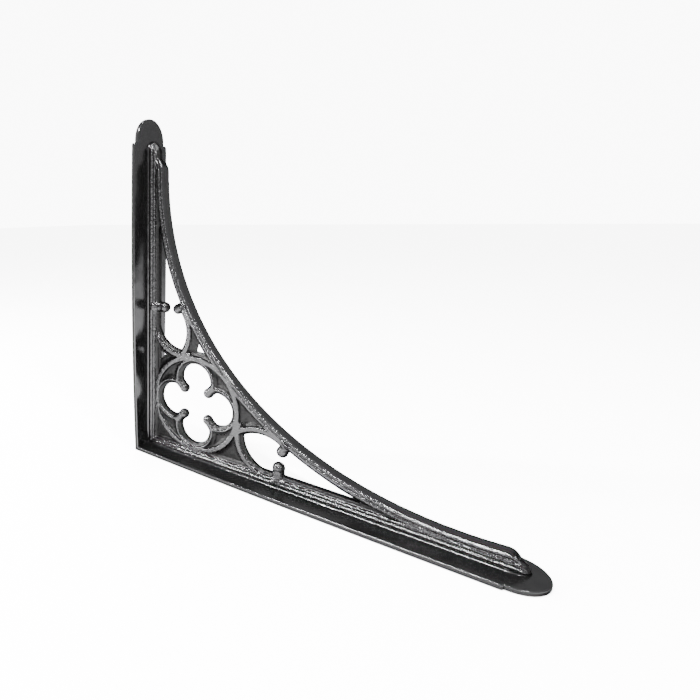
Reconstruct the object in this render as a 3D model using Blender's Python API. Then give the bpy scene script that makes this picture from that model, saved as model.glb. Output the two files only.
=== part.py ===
"""Decorative shelf bracket, one casting in polished black metal.

Two flat straps stand in an L, one for the wall and one for the shelf. Between them a
Gothic web carries a ring with a quatrefoil in the corner, a pointed teardrop opening
along each strap, and a hollow curved brace that joins the strap ends.

Plan points are given as (u, v): u runs along a strap from the outer corner, v stands
away from that strap's outer face. Most shapes of one strap are made for both, mirrored
about the 45 degree line. The brace stands further from the wall strap than from the
shelf strap, and its cusps and noses have their own distances on each leg. The web stands
a little behind the straps' centre line, and the straps are widest near their middle.
"""
import math

import bmesh
import bpy
from mathutils import Vector

MM = 0.001
WELD = 0.004 * MM

# Straps and their lugs
LEG = 200.0 * MM
CORNER_WIDTH = 26.0 * MM
WIDEST_AT = 112.0 * MM
SHELF_WIDTH = 29.2 * MM
SHELF_END_WIDTH = 28.0 * MM
SHELF_LUG_WIDTH = 25.8 * MM
WALL_WIDTH = 31.6 * MM
WALL_END_WIDTH = 30.0 * MM
WALL_LUG_WIDTH = 24.4 * MM
STRAP_THICK = 2.5 * MM
LUG_LENGTH = 14.0 * MM
SHOULDER = 1.2 * MM
SHOULDER_SHARE = 0.4
SHOULDER_FOOT = 0.4 * MM
STRAP_STEPS = 5
LUG_STEPS = 10
WEB_BACK = 1.4 * MM

# Reeded border along each strap
BORDER_TOP = 8.5 * MM
BORDER_HALF = 4.0 * MM
REVEAL_HALF = 1.4 * MM
REED_RISE = 0.8 * MM
REED_STEP = 0.6 * MM
BORDER_FACE = (0.9 * MM, 2.9 * MM)
LOW_REED = (3.0 * MM, 4.9 * MM)
HIGH_REED = (5.0 * MM, 6.8 * MM)
REVEAL_FROM = 7.0 * MM

# Ring and quatrefoil
RING_CENTRE = 35.7 * MM
RING_RADIUS = 28.0 * MM
FILLET_HALF = 1.25 * MM
BAR_FOOT = 2.9 * MM
BAR_CREST = 3.3 * MM
BAR_EDGE = 1.2 * MM
BAR_WAIST_OUT = 0.42
BAR_WAIST_UP = 0.34
BAR_STAGGER = 0.03 * MM
FOIL_OFFSET = 14.6 * MM
FOIL_RADIUS = 9.9 * MM
RIM_FOOT = 2.4 * MM
RIM_CREST = 3.1 * MM
RIM_HALF = 0.5 * MM
RIM_EDGE = 1.5 * MM
RIM_LAP = 0.1 * MM
PLATE_HALF = 0.7 * MM
THROAT = 10.9 * MM
FOIL_CUSP_TIP = 11.6 * MM
FOIL_CUSP_SINK = 1.6 * MM
FOIL_CUSP_ROOT = 3.3 * MM
FOIL_CUSP_NECK = 2.75 * MM
FOIL_BULB = 3.0 * MM
CUSP_TAPER = 0.75
CUSP_SIDES = 10
BULB_STEPS = 4
BULB_END = 72.0

# Teardrop openings
HEEL_CENTRE = (84.1 * MM, 25.2 * MM)
HEEL_RADIUS = 17.2 * MM
HEEL_ARC = (158.0, 262.0)
HEEL_STEPS = 18
CROWN_CENTRE = (77.8 * MM, 9.6 * MM)
CROWN_RADIUS = 18.8 * MM
CROWN_ARC = (52.0, 131.0)
CROWN_STEPS = 13
SHELF_LOW_ALONG = 87.9 * MM
SHELF_HIGH_ALONG = 89.4 * MM
WALL_ALONG = 91.2 * MM
LOW_CUSP_ROOT = 5.0 * MM
LOW_CUSP_TIP = 12.3 * MM
LOW_NECK = 3.1 * MM
LOW_BULB = 3.3 * MM
HIGH_CUSP_TIP = 21.9 * MM
HIGH_CUSP_LEAN = 3.2 * MM
HIGH_CUSP_RISE = 6.2 * MM
HIGH_NECK = 2.9 * MM
HIGH_BULB = 3.1 * MM
DROP_CUSP_ROOT = 4.6 * MM

# Sunk floors of the small triangles between the bars
FLOOR_HALF = 0.8 * MM
FLOOR_SPREAD = 1.3
HOLE_EDGE = 0.8
BY_BRACE = ((66.2 * MM, 31.3 * MM), (65.5 * MM, 43.3 * MM), (77.6 * MM, 34.2 * MM))
BY_HEEL = ((61.7 * MM, 19.1 * MM), (51.5 * MM, 9.1 * MM), (67.4 * MM, 9.1 * MM))
IN_CORNER = ((9.1 * MM, 9.1 * MM), (19.7 * MM, 9.1 * MM), (9.1 * MM, 19.7 * MM))
BRACE_HOLE = 0.42
BRACE_HOLE_SHIFT = (-0.6 * MM, 1.2 * MM)
HEEL_HOLE = 0.36
HEEL_HOLE_SHIFT = (1.4 * MM, -1.6 * MM)

# Curved brace
BRACE_CENTRE_X = 173.3 * MM
BRACE_CENTRE_Z = 170.5 * MM
BRACE_RADIUS = 161.0 * MM
BRACE_WIDTH = 6.2 * MM
BRACE_HALF = 3.5 * MM
BRACE_FACE_HALF = 3.2 * MM
BRACE_ROLL = (0.5 * MM, 2.3 * MM)
BRACE_ROLL_SINK = 0.4 * MM
BRACE_ROLL_RISE = 0.5 * MM
BRACE_GROOVE = 0.8 * MM
BRACE_FILLET = (2.8 * MM, 4.3 * MM)
BRACE_FILLET_SINK = 0.1 * MM

# Rounded noses where brace and border die into the straps
NOSE_TURN = 78.0
SHELF_NOSE = 185.7 * MM
WALL_NOSE = 180.0 * MM
NOSE_LENGTH = 8.0 * MM
SHELF_BRACE_NOSE = 185.2 * MM
SHELF_BRACE_NOSE_LENGTH = 6.2 * MM
WALL_BRACE_NOSE = 170.0 * MM
WALL_BRACE_NOSE_LENGTH = 9.8 * MM
NOSE_STEPS = 5

# Roundness
RING_STEPS = 48
FOIL_STEPS = 16
BRACE_STEPS = 34
SMOOTH_BELOW = 32.0

BLACK = (0.012, 0.012, 0.013, 1.0)


def clear_scene():
    """Remove every object that the scene holds."""
    for old in list(bpy.data.objects):
        bpy.data.objects.remove(old, do_unlink=True)


def new_collection(name):
    """Make a collection in the scene."""
    group = bpy.data.collections.new(name)
    bpy.context.scene.collection.children.link(group)
    return group


def finish_object(name, bm, group):
    """Turn a bmesh into an object with its faces pointing out."""
    bmesh.ops.recalc_face_normals(bm, faces=bm.faces)
    mesh = bpy.data.meshes.new(name)
    bm.to_mesh(mesh)
    bm.free()
    obj = bpy.data.objects.new(name, mesh)
    group.objects.link(obj)
    return obj


def on_leg(u, v, y, wall):
    """Place plan point (u, v) at depth y on the shelf leg or the wall leg."""
    return Vector((v, y, u)) if wall else Vector((u, y, v))


def both_sides(half):
    """Close a half section, given as (offset, depth) from one edge to the other."""
    return half + [(offset, -depth) for offset, depth in reversed(half)]


def bead(start, end, base, rise, steps=4):
    """A half round moulding between two offsets of a section."""
    points = []
    for i in range(steps + 1):
        t = i / steps
        points.append((start + (end - start) * t, base + rise * math.sin(math.pi * t)))
    return points


def bar_half(fillet, foot, crest, edge):
    """Half section of a tracery bar: a flat fillet with a hollow to each side."""
    waist = fillet + (foot - fillet) * BAR_WAIST_OUT
    waist_depth = edge + (crest - edge) * BAR_WAIST_UP
    right = [(fillet, crest), (waist, waist_depth), (foot, edge)]
    return [(-offset, depth) for offset, depth in reversed(right)] + right


def section_face(bm, points):
    """Make one face from a closed loop of points."""
    return bm.faces.new([bm.verts.new(p) for p in points])


def arc_bar(name, centre, radius, start, end, half, steps, group):
    """Sweep a section round an arc; angles are in degrees from +X towards +Z."""
    bm = bmesh.new()
    loop = both_sides(half)
    a = math.radians(start)
    points = []
    for offset, depth in loop:
        reach = radius + offset
        points.append((centre[0] + reach * math.cos(a), depth, centre[1] + reach * math.sin(a)))
    turn = math.radians(end - start)
    pivot = (centre[0], 0.0, centre[1])
    if abs(end - start) >= 360.0:
        verts = [bm.verts.new(p) for p in points]
        geom = verts + [bm.edges.new((verts[i - 1], verts[i])) for i in range(len(verts))]
        bmesh.ops.spin(bm, geom=geom, cent=pivot, axis=(0, -1, 0), angle=turn,
                       steps=steps, use_merge=True)
    else:
        face = section_face(bm, points)
        geom = [face] + list(face.edges) + list(face.verts)
        bmesh.ops.spin(bm, geom=geom, cent=pivot, axis=(0, -1, 0), angle=turn, steps=steps)
    return finish_object(name, bm, group)


def leg_arc(name, centre, radius, start, end, half, steps, group, wall):
    """An arc bar of the shelf leg, or its mirror about the 45 degree line."""
    if wall:
        return arc_bar(name, (centre[1], centre[0]), radius, 90.0 - end, 90.0 - start,
                       half, steps, group)
    return arc_bar(name, centre, radius, start, end, half, steps, group)


def push_face(bm, face, place):
    """Extrude a face and move each new corner to place(old corner)."""
    result = bmesh.ops.extrude_face_region(bm, geom=[face])
    for vert in [g for g in result["geom"] if isinstance(g, bmesh.types.BMVert)]:
        vert.co = place(vert.co.copy())
    fresh = [g for g in result["geom"] if isinstance(g, bmesh.types.BMFace)][0]
    if face.is_valid:
        bmesh.ops.delete(bm, geom=[face], context="FACES_ONLY")
    return fresh


def round_nose(bm, face, length, wall):
    """Draw a section out into a nose that shrinks onto the strap."""
    low = STRAP_THICK * 0.5
    for k in range(NOSE_STEPS):
        before = math.radians(NOSE_TURN) * k / NOSE_STEPS
        after = math.radians(NOSE_TURN) * (k + 1) / NOSE_STEPS
        shrink = math.cos(after) / math.cos(before)
        onward = length * (math.sin(after) - math.sin(before))

        def place(co, shrink=shrink, onward=onward):
            u, v = (co.z, co.x) if wall else (co.x, co.z)
            return on_leg(u + onward, low + (v - low) * shrink, co.y * shrink, wall)

        face = push_face(bm, face, place)


def strap_outline(wall):
    """Half the width of a strap along its length, as corner points (u, half width)."""
    widest = (WALL_WIDTH if wall else SHELF_WIDTH) * 0.5
    last = (WALL_END_WIDTH if wall else SHELF_END_WIDTH) * 0.5
    lug_radius = (WALL_LUG_WIDTH if wall else SHELF_LUG_WIDTH) * 0.5
    shoulder_at = LEG - LUG_LENGTH
    points = []
    for i in range(STRAP_STEPS):
        t = 1.0 - i / STRAP_STEPS
        points.append((WIDEST_AT * (1.0 - t), widest - (widest - CORNER_WIDTH * 0.5) * t ** 2))
    for i in range(STRAP_STEPS + 1):
        t = i / STRAP_STEPS
        points.append((WIDEST_AT + (shoulder_at - SHOULDER - WIDEST_AT) * t,
                       widest - (widest - last) * t ** 2))
    points.append((shoulder_at, last - (last - lug_radius) * SHOULDER_SHARE))
    points.append((shoulder_at + SHOULDER_FOOT, lug_radius))
    for i in range(1, LUG_STEPS + 1):
        a = math.pi * 0.5 * i / LUG_STEPS
        points.append((LEG - lug_radius + lug_radius * math.sin(a), lug_radius * math.cos(a)))
    return points


def make_strap(name, group, wall):
    """A flat strap with its rounded lug, as an extruded outline."""
    side = strap_outline(wall)
    loop = side + [(u, -w) for u, w in reversed(side[:-1])]
    data = bpy.data.curves.new(name, "CURVE")
    data.dimensions = "2D"
    data.fill_mode = "BOTH"
    data.extrude = STRAP_THICK * 0.5
    spline = data.splines.new("POLY")
    spline.points.add(len(loop) - 1)
    for point, (u, w) in zip(spline.points, loop):
        point.co = (u, w, 0.0, 1.0)
    spline.use_cyclic_u = True
    flat = bpy.data.objects.new(name + "_outline", data)
    group.objects.link(flat)
    flat.location = on_leg(0.0, STRAP_THICK * 0.5, 0.0, wall)
    if wall:
        flat.rotation_euler = (0.0, -math.pi * 0.5, 0.0)
    return curve_to_mesh(flat, name, group)


def curve_to_mesh(curve, name, group):
    """Replace a curve object by a mesh object with welded caps."""
    bpy.context.view_layer.update()
    graph = bpy.context.evaluated_depsgraph_get()
    mesh = bpy.data.meshes.new_from_object(curve.evaluated_get(graph))
    place = curve.matrix_world.copy()
    bm = bmesh.new()
    bm.from_mesh(mesh)
    bmesh.ops.remove_doubles(bm, verts=bm.verts, dist=WELD)
    bmesh.ops.transform(bm, matrix=place, verts=bm.verts)
    bpy.data.objects.remove(curve, do_unlink=True)
    bpy.data.meshes.remove(mesh)
    return finish_object(name, bm, group)


def border_half():
    """Half section of the reeded border, from inside the strap to the opening."""
    reeds = [(offset, BORDER_HALF) for offset in BORDER_FACE]
    reeds += bead(*LOW_REED, BORDER_HALF - REED_STEP, REED_RISE)
    reeds += bead(*HIGH_REED, BORDER_HALF - 2.0 * REED_STEP, REED_RISE)
    reeds += [(REVEAL_FROM, REVEAL_HALF + REED_STEP), (BORDER_TOP, REVEAL_HALF)]
    return reeds


def make_border(group):
    """Both borders as one length, mitred at the corner, with a nose at each end."""
    bm = bmesh.new()
    loop = both_sides(border_half())
    face = section_face(bm, [on_leg(v, v, y, False) for v, y in loop])
    for wall in (False, True):
        def along(co, wall=wall):
            if wall:
                return on_leg(WALL_NOSE, co.x, co.y, True)
            return on_leg(SHELF_NOSE, co.z, co.y, False)
        if wall:
            corner = section_face(bm, [on_leg(v, v, y, False) for v, y in loop])
        else:
            corner = face
        end = push_face(bm, corner, along)
        round_nose(bm, end, NOSE_LENGTH, wall)
    bmesh.ops.remove_doubles(bm, verts=bm.verts, dist=WELD)
    inner = [f for f in bm.faces if all(abs(v.co.x - v.co.z) < WELD for v in f.verts)]
    bmesh.ops.delete(bm, geom=inner, context="FACES_ONLY")
    return finish_object("border", bm, group)


def brace_half():
    """Half section of the brace; offsets grow from its outer face to the openings."""
    outer = [(0.0, BRACE_FACE_HALF)]
    roll = bead(*BRACE_ROLL, BRACE_HALF - BRACE_ROLL_SINK, BRACE_ROLL_RISE, 3)
    groove = ((BRACE_ROLL[1] + BRACE_FILLET[0]) * 0.5, BRACE_HALF - BRACE_GROOVE)
    fillet = [(offset, BRACE_HALF - BRACE_FILLET_SINK) for offset in BRACE_FILLET]
    return outer + roll + [groove] + fillet + [(BRACE_WIDTH, REVEAL_HALF)]


def make_brace(group):
    """The curved brace, an arc with a nose drawn out at each end."""
    bm = bmesh.new()
    over_shelf = math.asin((SHELF_BRACE_NOSE - BRACE_CENTRE_X) / BRACE_RADIUS)
    over_wall = math.asin((WALL_BRACE_NOSE - BRACE_CENTRE_Z) / BRACE_RADIUS)
    start = math.pi * 1.5 + over_shelf
    turn = -(math.pi * 0.5 + over_shelf + over_wall)
    points = []
    for offset, depth in both_sides(brace_half()):
        reach = BRACE_RADIUS + offset
        points.append((BRACE_CENTRE_X + reach * math.cos(start), depth,
                       BRACE_CENTRE_Z + reach * math.sin(start)))
    face = section_face(bm, points)
    geom = [face] + list(face.edges) + list(face.verts)
    bmesh.ops.spin(bm, geom=geom, cent=(BRACE_CENTRE_X, 0.0, BRACE_CENTRE_Z),
                   axis=(0, -1, 0), angle=turn, steps=BRACE_STEPS)
    ends = {}
    for cap in [f for f in bm.faces if len(f.verts) > 4]:
        ends[cap.calc_center_median().z > cap.calc_center_median().x] = cap
    for wall, cap in ends.items():
        round_nose(bm, cap, WALL_BRACE_NOSE_LENGTH if wall else SHELF_BRACE_NOSE_LENGTH, wall)
    return finish_object("brace", bm, group)


def make_plate(group):
    """Thin plate inside the ring, open at the four lobes and between the cusps."""
    reach = math.acos((FOIL_OFFSET ** 2 + FOIL_RADIUS ** 2 - THROAT ** 2)
                      / (2.0 * FOIL_OFFSET * FOIL_RADIUS))
    half_turn = math.pi - reach
    data = bpy.data.curves.new("plate", "CURVE")
    data.dimensions = "2D"
    data.fill_mode = "BOTH"
    data.extrude = PLATE_HALF
    inner = []
    for lobe in range(4):
        beta = math.pi * 0.5 * lobe
        for i in range(FOIL_STEPS + 1):
            a = beta - half_turn + 2.0 * half_turn * i / FOIL_STEPS
            inner.append((FOIL_OFFSET * math.cos(beta) + FOIL_RADIUS * math.cos(a),
                          FOIL_OFFSET * math.sin(beta) + FOIL_RADIUS * math.sin(a)))
    outer = []
    for i in range(RING_STEPS):
        a = 2.0 * math.pi * i / RING_STEPS
        outer.append((RING_RADIUS * math.cos(a), RING_RADIUS * math.sin(a)))
    for loop in (outer, inner):
        spline = data.splines.new("POLY")
        spline.points.add(len(loop) - 1)
        for point, (x, y) in zip(spline.points, loop):
            point.co = (x, y, 0.0, 1.0)
        spline.use_cyclic_u = True
    flat = bpy.data.objects.new("plate_outline", data)
    group.objects.link(flat)
    flat.location = (RING_CENTRE, 0.0, RING_CENTRE)
    flat.rotation_euler = (math.pi * 0.5, 0.0, 0.0)
    return curve_to_mesh(flat, "plate", group)


def make_cusp(name, root, tip, root_radius, neck_radius, bulb_radius, group):
    """A stout cusp turned about its axis: it tapers to a neck and ends in a round bulb."""
    root = Vector(root)
    axis = Vector(tip) - root
    reach = axis.length
    waist = math.acos(neck_radius / bulb_radius)
    neck_at = reach - bulb_radius * math.sin(waist)
    middle_radius = root_radius + (neck_radius - root_radius) * CUSP_TAPER
    profile = [(root_radius, 0.0), (middle_radius, neck_at * 0.5), (neck_radius, neck_at)]
    for step in range(1, BULB_STEPS + 1):
        a = -waist + (math.radians(BULB_END) + waist) * step / BULB_STEPS
        profile.append((bulb_radius * math.cos(a), reach + bulb_radius * math.sin(a)))
    turn = Vector((0.0, 0.0, 1.0)).rotation_difference(axis)
    bm = bmesh.new()
    rows = []
    for radius, height in profile:
        row = []
        for i in range(CUSP_SIDES):
            a = 2.0 * math.pi * (i + 0.5) / CUSP_SIDES
            point = Vector((radius * math.cos(a), radius * math.sin(a), height))
            row.append(bm.verts.new(root + turn @ point))
        rows.append(row)
    for low, high in zip(rows, rows[1:]):
        for i in range(CUSP_SIDES):
            bm.faces.new((low[i - 1], low[i], high[i], high[i - 1]))
    bm.faces.new(rows[0])
    top = bm.verts.new(root + turn @ Vector((0.0, 0.0, reach + bulb_radius)))
    for i in range(CUSP_SIDES):
        bm.faces.new((rows[-1][i - 1], rows[-1][i], top))
    return finish_object(name, bm, group)


def make_quatrefoil(group):
    """Ring, foil rims, plate and the four cusps of the corner roundel."""
    centre = (RING_CENTRE, RING_CENTRE)
    ring = bar_half(FILLET_HALF, BAR_FOOT, BAR_CREST, BAR_EDGE)
    arc_bar("ring", centre, RING_RADIUS, 0.0, 360.0, ring, RING_STEPS, group)
    make_plate(group)
    rim_radius = FOIL_RADIUS + RIM_FOOT - RIM_LAP
    rim = bar_half(RIM_HALF, RIM_FOOT, RIM_CREST, RIM_EDGE)
    half_gap = FOIL_OFFSET / math.sqrt(2.0)
    meet = math.sqrt(rim_radius ** 2 - half_gap ** 2)
    spread = 45.0 + math.degrees(math.atan2(half_gap, meet))
    for lobe in range(4):
        beta = 90.0 * lobe
        away = math.radians(beta)
        lobe_centre = (centre[0] + FOIL_OFFSET * math.cos(away),
                       centre[1] + FOIL_OFFSET * math.sin(away))
        arc_bar(f"foil_{lobe}", lobe_centre, rim_radius, beta - spread, beta + spread,
                rim, FOIL_STEPS, group)
        slant = math.radians(beta + 45.0)
        ray = Vector((math.cos(slant), 0.0, math.sin(slant)))
        middle = Vector((centre[0], 0.0, centre[1]))
        make_cusp(f"cusp_{lobe}", middle + ray * (half_gap + meet + FOIL_CUSP_SINK),
                  middle + ray * FOIL_CUSP_TIP, FOIL_CUSP_ROOT, FOIL_CUSP_NECK, FOIL_BULB,
                  group)


def make_teardrop(group, wall):
    """Bars and cusps of one pointed teardrop opening."""
    suffix = "wall" if wall else "shelf"
    heel = bar_half(FILLET_HALF, BAR_FOOT, BAR_CREST - BAR_STAGGER, BAR_EDGE)
    leg_arc("heel_" + suffix, HEEL_CENTRE, HEEL_RADIUS + BAR_FOOT, *HEEL_ARC, heel,
            HEEL_STEPS, group, wall)
    crown = bar_half(FILLET_HALF, BAR_FOOT, BAR_CREST - 2.0 * BAR_STAGGER, BAR_EDGE)
    leg_arc("crown_" + suffix, CROWN_CENTRE, CROWN_RADIUS + BAR_FOOT, *CROWN_ARC, crown,
            CROWN_STEPS, group, wall)
    low_along = WALL_ALONG if wall else SHELF_LOW_ALONG
    high_along = WALL_ALONG if wall else SHELF_HIGH_ALONG
    make_cusp("low_cusp_" + suffix, on_leg(low_along, LOW_CUSP_ROOT, 0.0, wall),
              on_leg(low_along, LOW_CUSP_TIP, 0.0, wall), DROP_CUSP_ROOT, LOW_NECK,
              LOW_BULB, group)
    high_root = on_leg(high_along + HIGH_CUSP_LEAN, HIGH_CUSP_TIP + HIGH_CUSP_RISE, 0.0, wall)
    make_cusp("high_cusp_" + suffix, high_root, on_leg(high_along, HIGH_CUSP_TIP, 0.0, wall),
              DROP_CUSP_ROOT, HIGH_NECK, HIGH_BULB, group)


def make_floor(name, corners, group, wall, hole=0.0, shift=(0.0, 0.0)):
    """Sunk floor of a triangle, grown under its bars, blind or round a smaller hole."""
    middle = (sum(u for u, v in corners) / 3.0, sum(v for u, v in corners) / 3.0)
    bm = bmesh.new()
    columns = []
    for u, v in corners:
        away = (u - middle[0], v - middle[1])
        outer = (middle[0] + away[0] * FLOOR_SPREAD, middle[1] + away[1] * FLOOR_SPREAD)
        column = [(outer, FLOOR_HALF), (outer, -FLOOR_HALF)]
        if hole:
            inner = (middle[0] + shift[0] + away[0] * hole, middle[1] + shift[1] + away[1] * hole)
            column += [(inner, -FLOOR_HALF * HOLE_EDGE), (inner, FLOOR_HALF * HOLE_EDGE)]
        columns.append([bm.verts.new(on_leg(*place, depth, wall)) for place, depth in column])
    count = len(columns[0])
    for left, right in zip(columns, columns[1:] + columns[:1]):
        if hole:
            for i in range(count):
                bm.faces.new((left[i - 1], left[i], right[i], right[i - 1]))
        else:
            bm.faces.new((left[0], left[1], right[1], right[0]))
    if not hole:
        for side in range(count):
            bm.faces.new([column[side] for column in columns])
    return finish_object(name, bm, group)


def make_floors(group):
    """Floors of the triangles beside the ring; two on the wall leg are pierced."""
    make_floor("floor_corner", IN_CORNER, group, False)
    make_floor("floor_brace_shelf", BY_BRACE, group, False)
    make_floor("floor_heel_shelf", BY_HEEL, group, False)
    make_floor("floor_brace_wall", BY_BRACE, group, True, BRACE_HOLE, BRACE_HOLE_SHIFT)
    make_floor("floor_heel_wall", BY_HEEL, group, True, HEEL_HOLE, HEEL_HOLE_SHIFT)


def polished_black():
    """Glossy black finish of the casting."""
    material = bpy.data.materials.new("polished_black")
    material.use_nodes = True
    shader = material.node_tree.nodes["Principled BSDF"]
    shader.inputs["Base Color"].default_value = BLACK
    shader.inputs["Metallic"].default_value = 0.6
    shader.inputs["Roughness"].default_value = 0.18
    return material


def in_fixed_order(mesh):
    """Copy a mesh into a bmesh whose corners and faces are sorted by place."""
    order = sorted(range(len(mesh.vertices)), key=lambda i: tuple(mesh.vertices[i].co))
    rank = {old: new for new, old in enumerate(order)}
    loops = []
    for polygon in mesh.polygons:
        loop = [rank[i] for i in polygon.vertices]
        first = loop.index(min(loop))
        loops.append(loop[first:] + loop[:first])
    bm = bmesh.new()
    verts = [bm.verts.new(mesh.vertices[i].co) for i in order]
    for loop in sorted(loops):
        bm.faces.new([verts[i] for i in loop])
    return bm


def build_bracket():
    """Join the straps and the web into one casting, its origin under the middle."""
    clear_scene()
    bracket_group = new_collection("shelf_bracket")
    pieces = new_collection("joined_pieces")
    bracket = make_strap("bracket", bracket_group, False)
    wall_strap = make_strap("wall_strap", pieces, True)
    make_border(pieces)
    make_brace(pieces)
    make_quatrefoil(pieces)
    make_floors(pieces)
    for wall in (False, True):
        make_teardrop(pieces, wall)
    for piece in pieces.objects:
        piece.hide_render = True
        piece.display_type = "WIRE"
        if piece != wall_strap:
            piece.location.y = WEB_BACK
    join = bracket.modifiers.new("join", "BOOLEAN")
    join.operation = "UNION"
    join.operand_type = "COLLECTION"
    join.collection = pieces
    join.solver = "EXACT"
    bpy.context.view_layer.update()
    graph = bpy.context.evaluated_depsgraph_get()
    joined = bpy.data.meshes.new_from_object(bracket.evaluated_get(graph))
    bracket.modifiers.clear()
    bm = in_fixed_order(joined)
    bmesh.ops.remove_doubles(bm, verts=bm.verts, dist=WELD)
    bmesh.ops.dissolve_degenerate(bm, dist=WELD, edges=bm.edges)
    bmesh.ops.triangulate(bm, faces=bm.faces)
    bmesh.ops.recalc_face_normals(bm, faces=bm.faces)
    bm.to_mesh(bracket.data)
    bm.free()
    bpy.data.meshes.remove(joined)
    bracket.data.shade_smooth()
    bracket.data.set_sharp_from_angle(angle=math.radians(SMOOTH_BELOW))
    bracket.data.materials.append(polished_black())
    bracket.location.x = -LEG * 0.5
    for piece in pieces.objects:
        piece.location.x = -LEG * 0.5
    return bracket


build_bracket()
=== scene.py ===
"""Visual model of a decorative shelf bracket, one casting in polished black metal.

The bracket stands on its shelf strap. Every sub-assembly is swept or turned from named
sizes, the pieces are fused into one skin, and the skin gets the slight unevenness of a
hand finished casting. Plan points are (u, v): u along a strap from the outer corner, v
away from that strap's outer face.
"""
from __future__ import annotations

import logging
import math
from dataclasses import dataclass, field
from enum import Enum
from typing import Any

import bmesh
import bpy
from mathutils import Matrix, Vector


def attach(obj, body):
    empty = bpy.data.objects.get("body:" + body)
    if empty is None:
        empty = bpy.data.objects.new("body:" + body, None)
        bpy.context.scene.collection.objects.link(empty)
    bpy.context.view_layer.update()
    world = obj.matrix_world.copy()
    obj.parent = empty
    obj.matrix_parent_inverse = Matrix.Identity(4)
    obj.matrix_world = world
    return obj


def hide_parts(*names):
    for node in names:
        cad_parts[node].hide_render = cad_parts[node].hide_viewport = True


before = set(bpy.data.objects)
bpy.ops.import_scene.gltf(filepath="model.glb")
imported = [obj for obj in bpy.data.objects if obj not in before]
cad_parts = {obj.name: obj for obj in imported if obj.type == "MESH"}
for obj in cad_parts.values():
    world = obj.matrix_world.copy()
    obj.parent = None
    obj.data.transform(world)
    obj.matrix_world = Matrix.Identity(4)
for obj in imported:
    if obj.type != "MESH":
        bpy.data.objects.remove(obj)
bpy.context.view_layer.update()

MM = 0.001
WELD = 0.002 * MM
LEG = 200.0 * MM
CORNER_X = -LEG * 0.5
STRAP_THICK = 2.5 * MM
WEB_BACK = 1.4 * MM
BRACE_CENTRE = (173.3 * MM, 170.5 * MM)
BRACE_RADIUS = 161.0 * MM

log = logging.getLogger("bracket")

Point = tuple[float, float]


class Leg(Enum):
    """The two legs of the bracket."""

    SHELF = "shelf"
    WALL = "wall"

    def place(self, u: float, v: float, y: float) -> Vector:
        """Turn a plan point into a point of the scene.

        Args:
            u: distance along the strap from the outer corner.
            v: distance from the strap's outer face.
            y: depth across the strap.

        Returns:
            The point in scene coordinates.
        """
        if self is Leg.WALL:
            return Vector((CORNER_X + v, y, u))
        return Vector((CORNER_X + u, y, v))

    def plan(self, co: Vector) -> Point:
        """Read a scene point back as a plan point.

        Args:
            co: a point in scene coordinates.

        Returns:
            The pair (u, v).
        """
        if self is Leg.WALL:
            return co.z, co.x - CORNER_X
        return co.x - CORNER_X, co.z


@dataclass(frozen=True)
class CastFinish:
    """Colours and gloss of the polished black casting, with one darker colour as painted
    shade.
    """

    name: str = "polished_black"
    face: tuple[float, float, float, float] = (0.042, 0.042, 0.043, 1.0)
    worn: tuple[float, float, float, float] = (0.062, 0.062, 0.063, 1.0)
    # painted shade: a darker base colour for the sunk parts of the web and the straps' side
    # faces next to their outer faces
    painted_shade_colour: tuple[float, float, float, float] = (0.016, 0.016, 0.016, 1.0)
    edge_tint: tuple[float, float, float, float] = (0.28, 0.28, 0.28, 1.0)
    roughness_low: float = 0.08
    roughness_high: float = 0.19
    roughness_deep: float = 0.30
    roughness_flange: float = 0.15
    metallic: float = 0.95
    smudge_low: float = 0.35
    smudge_high: float = 0.7
    ripple_height: float = 0.30 * MM
    pit_height: float = 0.55 * MM
    grain_height: float = 0.03 * MM


@dataclass(frozen=True)
class ReliefZones:
    """Where the relief changes over the casting, where shade is painted, and how fine each
    unevenness is.
    """

    strap_level: float = 2.6 * MM
    web_level: float = 3.6 * MM
    # from sunk_depth to polished_depth the web goes over from painted shade and a rougher
    # finish to the polished faces
    sunk_depth: float = 1.9 * MM
    polished_depth: float = 2.7 * MM
    band_from: float = 0.3 * MM
    band_to: float = 0.9 * MM
    # from rim_to down to rim_from the straps' side faces take painted shade and a rougher
    # finish
    rim_from: float = 1.7 * MM
    rim_to: float = 2.2 * MM
    ripple_scale: float = 110.0
    pit_scale: float = 750.0
    grain_scale: float = 2600.0
    smudge_scale: float = 60.0


@dataclass(frozen=True)
class StageFinish:
    """The pale studio floor."""

    name: str = "pale_floor"
    colour: tuple[float, float, float, float] = (0.86, 0.86, 0.865, 1.0)
    roughness: float = 0.85
    sheen: float = 0.1
    glow: float = 7.0
    backdrop: float = 10.0
    surroundings: float = 1.1


class NodeWriter:
    """Small helper that adds and links nodes in one tree."""

    def __init__(self, tree: bpy.types.NodeTree) -> None:
        """Keep the tree that is written to."""
        self.tree = tree

    def add(self, kind: str, settings: dict | None = None, **inputs: Any) -> bpy.types.Node:
        """Add a node, set its properties and feed its inputs.

        Args:
            kind: the node's type name.
            settings: properties of the node itself.
            inputs: socket values by name, with spaces written as underscores; a value
                that is a socket is linked.

        Returns:
            The new node.
        """
        node = self.tree.nodes.new(kind)
        for key, value in (settings or {}).items():
            setattr(node, key, value)
        for key, value in inputs.items():
            self.feed(node.inputs[int(key[1:]) if key[0] == "i" and key[1:].isdigit()
                                  else key.replace("_", " ")], value)
        return node

    def feed(self, socket: bpy.types.NodeSocket, value: Any) -> None:
        """Set or link one input socket.

        Args:
            socket: the input.
            value: a plain value, or an output socket to link.
        """
        if isinstance(value, bpy.types.NodeSocket):
            self.tree.links.new(value, socket)
        else:
            socket.default_value = value

    def math(self, operation: str, first: Any, second: Any = 0.0) -> bpy.types.NodeSocket:
        """Add a math node and return its output socket."""
        node = self.add("ShaderNodeMath", {"operation": operation}, i0=first, i1=second)
        return node.outputs[0]


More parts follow.
